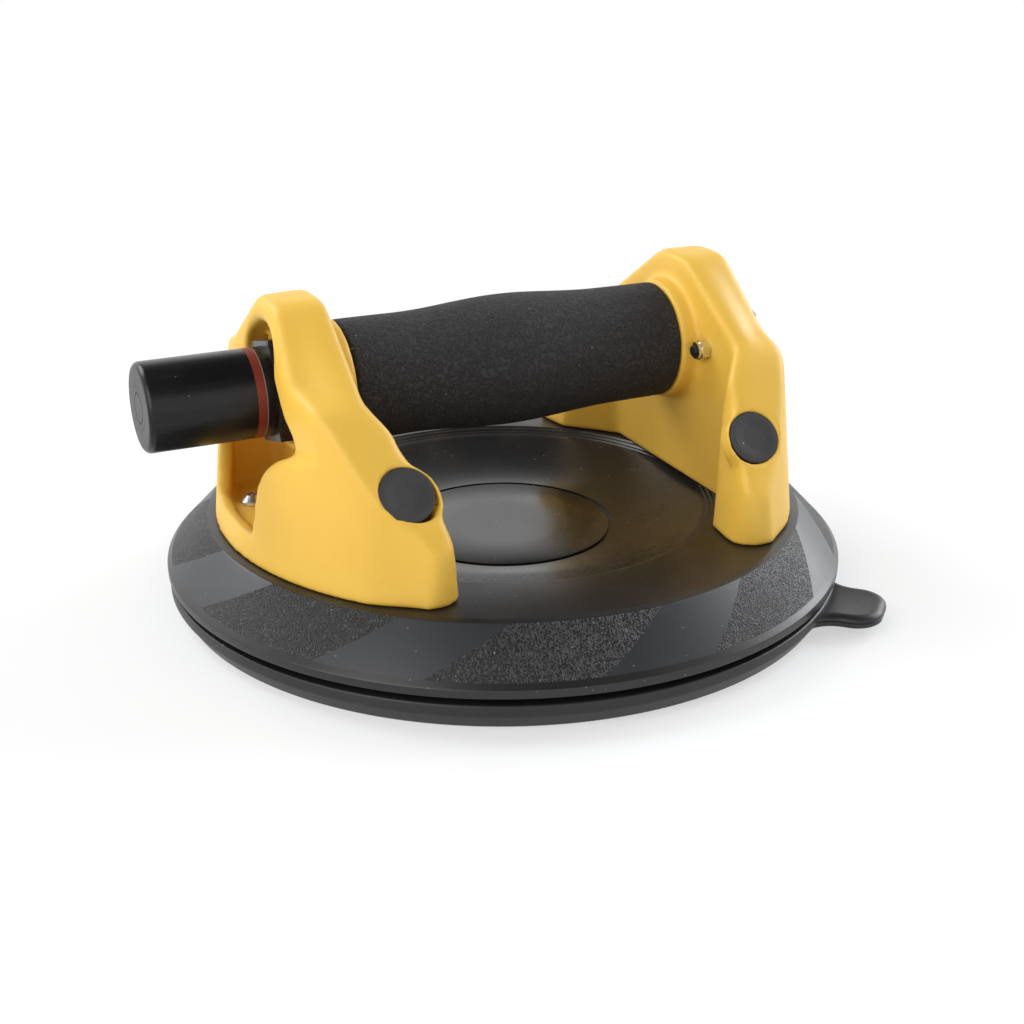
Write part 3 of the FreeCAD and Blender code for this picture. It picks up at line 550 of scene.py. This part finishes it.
# small corrections to the moulding: thicker limbs beside the pump, fuller toes, slimmer knees
def easeMoulding(points, look):
    side = np.sign(points[:, 0].mean())
    x = points[:, 0] * side * toMillimetres
    y = np.abs(points[:, 1]) * toMillimetres
    z = points[:, 2] * toMillimetres
    front = np.sign(points[:, 1])
    ring = np.hypot(y, z - look["axis"])
    share = np.interp(z, look["limbHeights"], look["limbShares"])
    share = share * smoothShare(x, look["limbStart"]) * (1 - smoothShare(x, look["limbEnd"]))
    share = share * smoothShare(ring, look["limbRing"])
    edge = share * (1 - smoothShare(y, look["reachEdge"]))
    share = share * (1 - smoothShare(y, look["limbEdge"]))
    inner = 1 - smoothShare(x, look["innerEdge"])
    toe = look["toe"] * (1 - smoothShare(z, look["toeTop"])) * smoothShare(y, look["toeSide"]) * inner
    knee = look["knee"] * smoothShare(z, look["kneeFoot"]) * (1 - smoothShare(z, look["kneeTop"]))
    knee = knee * smoothShare(y, look["kneeSide"]) * inner
    moved = points.copy()
    moved[:, 0] += side * (edge * look["reach"] + knee - toe) / toMillimetres
    moved[:, 1] -= front * look["limb"] * share / toMillimetres
    return moved


# the raised rim round each cap, to be melted into the moulding
def capRims(form, side, look):
    x, y, z = look["capPlace"]
    turns = look["ringTurns"]
    section = ((look["ringInner"], -look["ringDeep"]), (look["ringFoot"], -look["ringDeep"]),
               (look["ringOuter"], look["ringProud"]), (look["ringInner"], look["ringProud"]))
    angles = [2 * math.pi * j / turns for j in range(turns)]
    for front in (-1, 1):
        tilt = Matrix.Rotation(math.radians(look["capTilt"] * -front), 4, "X")
        place = Matrix.Translation((side * x, front * y, z)) @ tilt
        rows = []
        for radius, height in section:
            row = [Vector((radius * math.cos(angle), radius * math.sin(angle), height)) for angle in angles]
            rows.append([form.verts.new(place @ point) for point in row])
        for row, after in zip(rows, rows[1:] + rows[:1]):
            for j in range(turns):
                k = (j + 1) % turns
                form.faces.new((row[j], row[k], after[k], after[j]))


# a moulding whose edges are as soft as its tool left them: remeshed, eased, then smoothed above its foot
def softMoulding(nodeName, pieceName, slot, look):
    form = bmesh.new()
    form.from_mesh(nodes[nodeName].data)
    capRims(form, 1 if nodeName.startswith("right") else -1, look)
    blank = bpy.data.meshes.new(pieceName + "Blank")
    form.to_mesh(blank)
    form.free()
    holder = bpy.data.objects.new(pieceName + "Blank", blank)
    bpy.context.collection.objects.link(holder)
    remesh = holder.modifiers.new("remesh", "REMESH")
    remesh.mode = "VOXEL"
    remesh.voxel_size = look["voxel"]
    graph = bpy.context.evaluated_depsgraph_get()
    mesh = bpy.data.meshes.new_from_object(holder.evaluated_get(graph))
    bpy.data.objects.remove(holder)
    points = np.zeros(len(mesh.vertices) * 3)
    mesh.vertices.foreach_get("co", points)
    points = easeMoulding(points.reshape(-1, 3), look)
    edges = np.zeros(len(mesh.edges) * 2, dtype=np.int64)
    mesh.edges.foreach_get("vertices", edges)
    edges = edges.reshape(-1, 2)
    starts = np.concatenate([edges[:, 0], edges[:, 1]])
    ends = np.concatenate([edges[:, 1], edges[:, 0]])
    count = np.bincount(starts, minlength=len(points))[:, None]
    pull = look["pull"] * smoothShare(points[:, 2] * toMillimetres, look["pinned"])[:, None]
    for _ in range(look["rounds"]):
        mean = np.stack([np.bincount(starts, points[ends, k], len(points)) for k in range(3)], 1) / count
        points = points + (mean - points) * pull
    mesh.vertices.foreach_set("co", points.ravel())
    mesh.update()
    piece = addPiece(pieceName, mesh, "base", slot)
    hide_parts(nodeName)
    print(pieceName, "has", len(mesh.polygons), "faces")


softMoulding("right_bracket", "rightBracketMoulding", "yellow_plastic", rightMouldLook)
softMoulding("left_bracket", "leftBracketMoulding", "yellow_plastic", mouldLook)


# a profile of (radius, height) turned about Z, open at both ends
def turnedMesh(profile, turns):
    points = []
    for radius, height in profile:
        for j in range(turns):
            turn = 2 * math.pi * j / turns
            points.append((radius * math.cos(turn), radius * math.sin(turn), height))
    faces = []
    for i in range(len(profile) - 1):
        for j in range(turns):
            k = (j + 1) % turns
            faces.append((i * turns + j, i * turns + k, (i + 1) * turns + k, (i + 1) * turns + j))
    return points, faces


# corners of (u, v, radius) made into one open line with short runs round each corner
def roundedLine(corners, steps):
    line = [Vector(corners[0][:2])]
    for before, corner, after in zip(corners, corners[1:], corners[2:]):
        here = Vector(corner[:2])
        toBefore = (Vector(before[:2]) - here).normalized()
        toAfter = (Vector(after[:2]) - here).normalized()
        half = toBefore.angle(toAfter) / 2
        cut = corner[2] / math.tan(half)
        centre = here + (toBefore + toAfter).normalized() * (corner[2] / math.sin(half))
        first = here + toBefore * cut - centre
        last = here + toAfter * cut - centre
        sweep = first.angle_signed(last)
        for k in range(steps + 1):
            turn = sweep * k / steps
            line.append(centre + Vector((first.x * math.cos(turn) + first.y * math.sin(turn),
                                         first.y * math.cos(turn) - first.x * math.sin(turn))))
    line.append(Vector(corners[-1][:2]))
    return line


# the vacuum port's bore, and the pinhole left at the centre before the ends are closed
portLook = {"x": 0.0800, "height": 0.005, "radius": 0.0031, "length": 0.08, "turns": 48, "hub": 0.0001}


# a closed turned body with the vacuum port bored through it
def drilledMesh(name, line, turns, port):
    profile = [(max(radius, port["hub"]), height) for radius, height in line]
    points, faces = turnedMesh(profile, turns)
    faces.append(tuple(reversed(range(turns))))
    faces.append(tuple((len(profile) - 1) * turns + j for j in range(turns)))
    mesh = bpy.data.meshes.new(name)
    mesh.from_pydata(points, [], faces)
    form = bmesh.new()
    form.from_mesh(mesh)
    bmesh.ops.recalc_face_normals(form, faces=form.faces)
    form.to_mesh(mesh)
    form.free()
    blank = bpy.data.objects.new(name + "Blank", mesh)
    bpy.context.collection.objects.link(blank)
    drill = bpy.data.objects.new("drill", bpy.data.meshes.new("drill"))
    bpy.context.collection.objects.link(drill)
    form = bmesh.new()
    bmesh.ops.create_cone(form, cap_ends=True, segments=port["turns"], radius1=port["radius"],
                          radius2=port["radius"], depth=port["length"],
                          matrix=Matrix.Translation((port["x"], 0, port["height"])))
    form.to_mesh(drill.data)
    form.free()
    cut = blank.modifiers.new("port", "BOOLEAN")
    cut.operation = "DIFFERENCE"
    cut.object = drill
    graph = bpy.context.evaluated_depsgraph_get()
    bored = bpy.data.meshes.new_from_object(blank.evaluated_get(graph))
    bpy.data.objects.remove(blank)
    bpy.data.objects.remove(drill)
    return bored


discShape = {
    "turns": 360, "cornerSteps": 4,
    "outside": [
        (0.0000, 0.0103, 0), (0.1050, 0.0103, 0.0004), (0.1050, 0.0128, 0.0006), (0.0921, 0.0262, 0.0012),
        (0.0900, 0.0265, 0.0010), (0.0667, 0.0263, 0.0003), (0.0662, 0.0258, 0.0001),
        (0.0655, 0.0257, 0.0002), (0.0650, 0.0251, 0.0001), (0.0643, 0.0250, 0.0002),
        (0.0638, 0.0246, 0.0001), (0.0625, 0.0243, 0)],
    "bowlFrom": (0.0625, 0.0243), "bowlTo": (0.0348, 0.0172), "bowlPower": 1.6, "bowlSteps": 26,
    "middle": [
        (0.0348, 0.0172), (0.0348, 0.0164), (0.0334, 0.0164), (0.0334, 0.0172), (0.0331, 0.0173),
        (0.0160, 0.0172), (0.0000, 0.01705)],
}


# the moulded disc: cone, shoulder and stepped edge, a smooth bowl, and a groove round its flat middle
def makeDisc(look):
    line = [tuple(point) for point in roundedLine(look["outside"], look["cornerSteps"])]
    high, low = look["bowlFrom"], look["bowlTo"]
    for i in range(1, look["bowlSteps"]):
        share = 1 - i / look["bowlSteps"]
        line.append((low[0] + (high[0] - low[0]) * share,
                     low[1] + (high[1] - low[1]) * share ** look["bowlPower"]))
    disc = drilledMesh("discMoulding", line + look["middle"], look["turns"], portLook)
    piece = addPiece("discMoulding", disc, "base", "moulded_disc")
    disc.set_sharp_from_angle(angle=pieceSharpAngle)
    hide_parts("pad_disc")
    print("disc made with", len(disc.polygons), "faces")


makeDisc(discShape)


padLook = {
    "turns": 256, "cornerSteps": 5,
    "profile": [
        (0.0000, 0.0050, 0), (0.0860, 0.0050, 0.004), (0.0890, 0.0024, 0.002), (0.0920, 0.0000, 0.0006),
        (0.1010, 0.0000, 0.0012), (0.1038, 0.0044, 0.002), (0.1040, 0.0051, 0.0001),
        (0.1045, 0.0051, 0.0002), (0.1045, 0.0082, 0.0007), (0.1005, 0.0082, 0.0003),
        (0.1005, 0.0103, 0.0002), (0.0000, 0.0103, 0)],
}
tabLook = {
    "turn": -45.0, "root": 0.0955, "mouth": 0.1011, "mouthRound": 0.0001, "tip": 0.1208, "half": 0.0115,
    "flare": 0.0090, "spare": 0.0015, "corner": 0.0086, "steps": 12,
    "rings": [
        (0.0016, 0.0033), (0.0007, 0.0034), (0.0002, 0.0038), (0.0000, 0.0045), (0.0000, 0.0051),
        (0.0002, 0.0052), (0.0001, 0.0054), (0.0002, 0.0059), (0.0007, 0.0065), (0.0014, 0.0069),
        (0.0021, 0.0071), (0.0028, 0.0071), (0.0034, 0.0070)],
}


# the release tab: one plan outline, drawn in by each ring of (inset, height) as it rises
def addTab(form, look):
    wide = look["half"] + look["flare"] + look["spare"]
    side = [(look["root"], -wide, 0), (look["mouth"], -wide, look["mouthRound"]),
            (look["mouth"], -look["half"], look["flare"]), (look["tip"], -look["half"], look["corner"])]
    outline = roundedLine(side + [(u, -v, r) for u, v, r in reversed(side)], look["steps"])
    count = len(outline)
    inward = []
    for i in range(count):
        along = (outline[(i + 1) % count] - outline[i - 1]).normalized()
        inward.append(Vector((-along.y, along.x)))
    turn = Matrix.Rotation(math.radians(look["turn"]), 4, "Z")
    rings = []
    for inset, height in look["rings"]:
        flat = [point + pull * inset for point, pull in zip(outline, inward)]
        rings.append([form.verts.new(turn @ Vector((point.x, point.y, height))) for point in flat])
    for low, high in zip(rings, rings[1:]):
        for i in range(count):
            k = (i + 1) % count
            form.faces.new((low[i], low[k], high[k], high[i]))
    form.faces.new(rings[-1])
    form.faces.new(list(reversed(rings[0])))


# the rubber pad: sealing ring, lip and shallow chamber, with the release tab on its edge
def makePad(look, tab):
    line = roundedLine(look["profile"], look["cornerSteps"])
    ring = drilledMesh("padRubber", line, look["turns"], portLook)
    form = bmesh.new()
    form.from_mesh(ring)
    addTab(form, tab)
    form.to_mesh(ring)
    form.free()
    rubber = addPiece("padRubber", ring, "base", "pad_rubber")
    ring.set_sharp_from_angle(angle=pieceSharpAngle)
    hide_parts("suction_pad")
    print("rubber pad made with", len(ring.polygons), "faces")


makePad(padLook, tabLook)


# ripple is the skin's unevenness: waves drawn at random from these ranges, the same on every run
gripLook = {
    "turns": 128, "steps": 150, "roundSteps": 5, "endRound": 0.0011, "bore": 0.01505, "endRadius": 0.0181,
    "belly": 0.0199, "taper": 0.034, "skinFrom": 0.0155, "rippleFrom": 0.0175,
    "ripple": 0.00012, "calm": 5, "seed": 4, "waves": 14,
    "along": (60, 220), "around": (1, 6), "start": (0, 6.28),
}


# the foam sleeve: rounded ends, a belly in the middle and a slightly uneven skin
def makeGrip(look):
    low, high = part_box("foam_grip")
    half = (high.x - low.x) / 2
    axisHeight = (high.z + low.z) / 2
    rng = np.random.default_rng(look["seed"])
    waves = [(rng.uniform(*look["along"]), rng.integers(*look["around"]),
              rng.uniform(*look["start"]), rng.uniform(*look["start"])) for _ in range(look["waves"])]

    def radiusAt(x):
        swell = 0.0
        if abs(x) <= look["taper"]:
            swell = 0.5 * (1 + math.cos(math.pi * x / look["taper"]))
        return look["endRadius"] + (look["belly"] - look["endRadius"]) * swell

    def unevenAt(x, turn):
        return sum(math.sin(a * x + b * turn + c) * math.cos(b * turn + d) for a, b, c, d in waves)

    ending = [(look["bore"], -half)]
    for i in range(look["roundSteps"] + 1):
        turn = math.pi / 2 * i / look["roundSteps"]
        ending.append((look["endRadius"] - look["endRound"] * (1 - math.sin(turn)),
                       -half + look["endRound"] * (1 - math.cos(turn))))
    profile = list(ending)
    inner = half - look["endRound"]
    for i in range(1, look["steps"]):
        x = -inner + 2 * inner * i / look["steps"]
        profile.append((radiusAt(x), x))
    profile += [(radius, -x) for radius, x in reversed(ending)]
    turns = look["turns"]
    points = []
    for radius, x in profile:
        for j in range(turns):
            turn = 2 * math.pi * j / turns
            uneven = unevenAt(x, turn) if radius > look["rippleFrom"] else 0.0
            real = radius
            if radius > look["skinFrom"]:
                real = radius + look["ripple"] * uneven / look["calm"] - look["ripple"]
            points.append((x, real * math.cos(turn), axisHeight + real * math.sin(turn)))
    faces = []
    for i in range(len(profile)):
        after = (i + 1) % len(profile)
        for j in range(turns):
            k = (j + 1) % turns
            faces.append((i * turns + j, i * turns + k, after * turns + k, after * turns + j))
    mesh = bpy.data.meshes.new("foamSleeve")
    mesh.from_pydata(points, [], faces)
    mesh.validate()
    piece = addPiece("foamSleeve", mesh, "base", "grip_foam")
    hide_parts("foam_grip")
    print("foam sleeve made")


makeGrip(gripLook)


springFits = {
    "return_spring": {"piece": "returnCoil", "joint": "plunger_push", "travel": 0.0300, "heldAt": "high"},
    "poppet_spring": {"piece": "poppetCoil", "joint": "valve_lift", "travel": 0.0012, "heldAt": "low"},
}


# a coil copied from its part as a piece of its own; the joint, travel and held end in its fit are not used,
# so it does not shorten as its joint moves
def makeCoil(nodeName, fit):
    piece = addPiece(fit["piece"], nodes[nodeName].data.copy(), "base", slotOf[nodeName])
    piece.data.set_sharp_from_angle(angle=pieceSharpAngle)
    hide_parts(nodeName)
    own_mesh(piece)
    print(fit["piece"], "shortens by", fit["travel"])


for nodeName, fit in springFits.items():
    makeCoil(nodeName, fit)
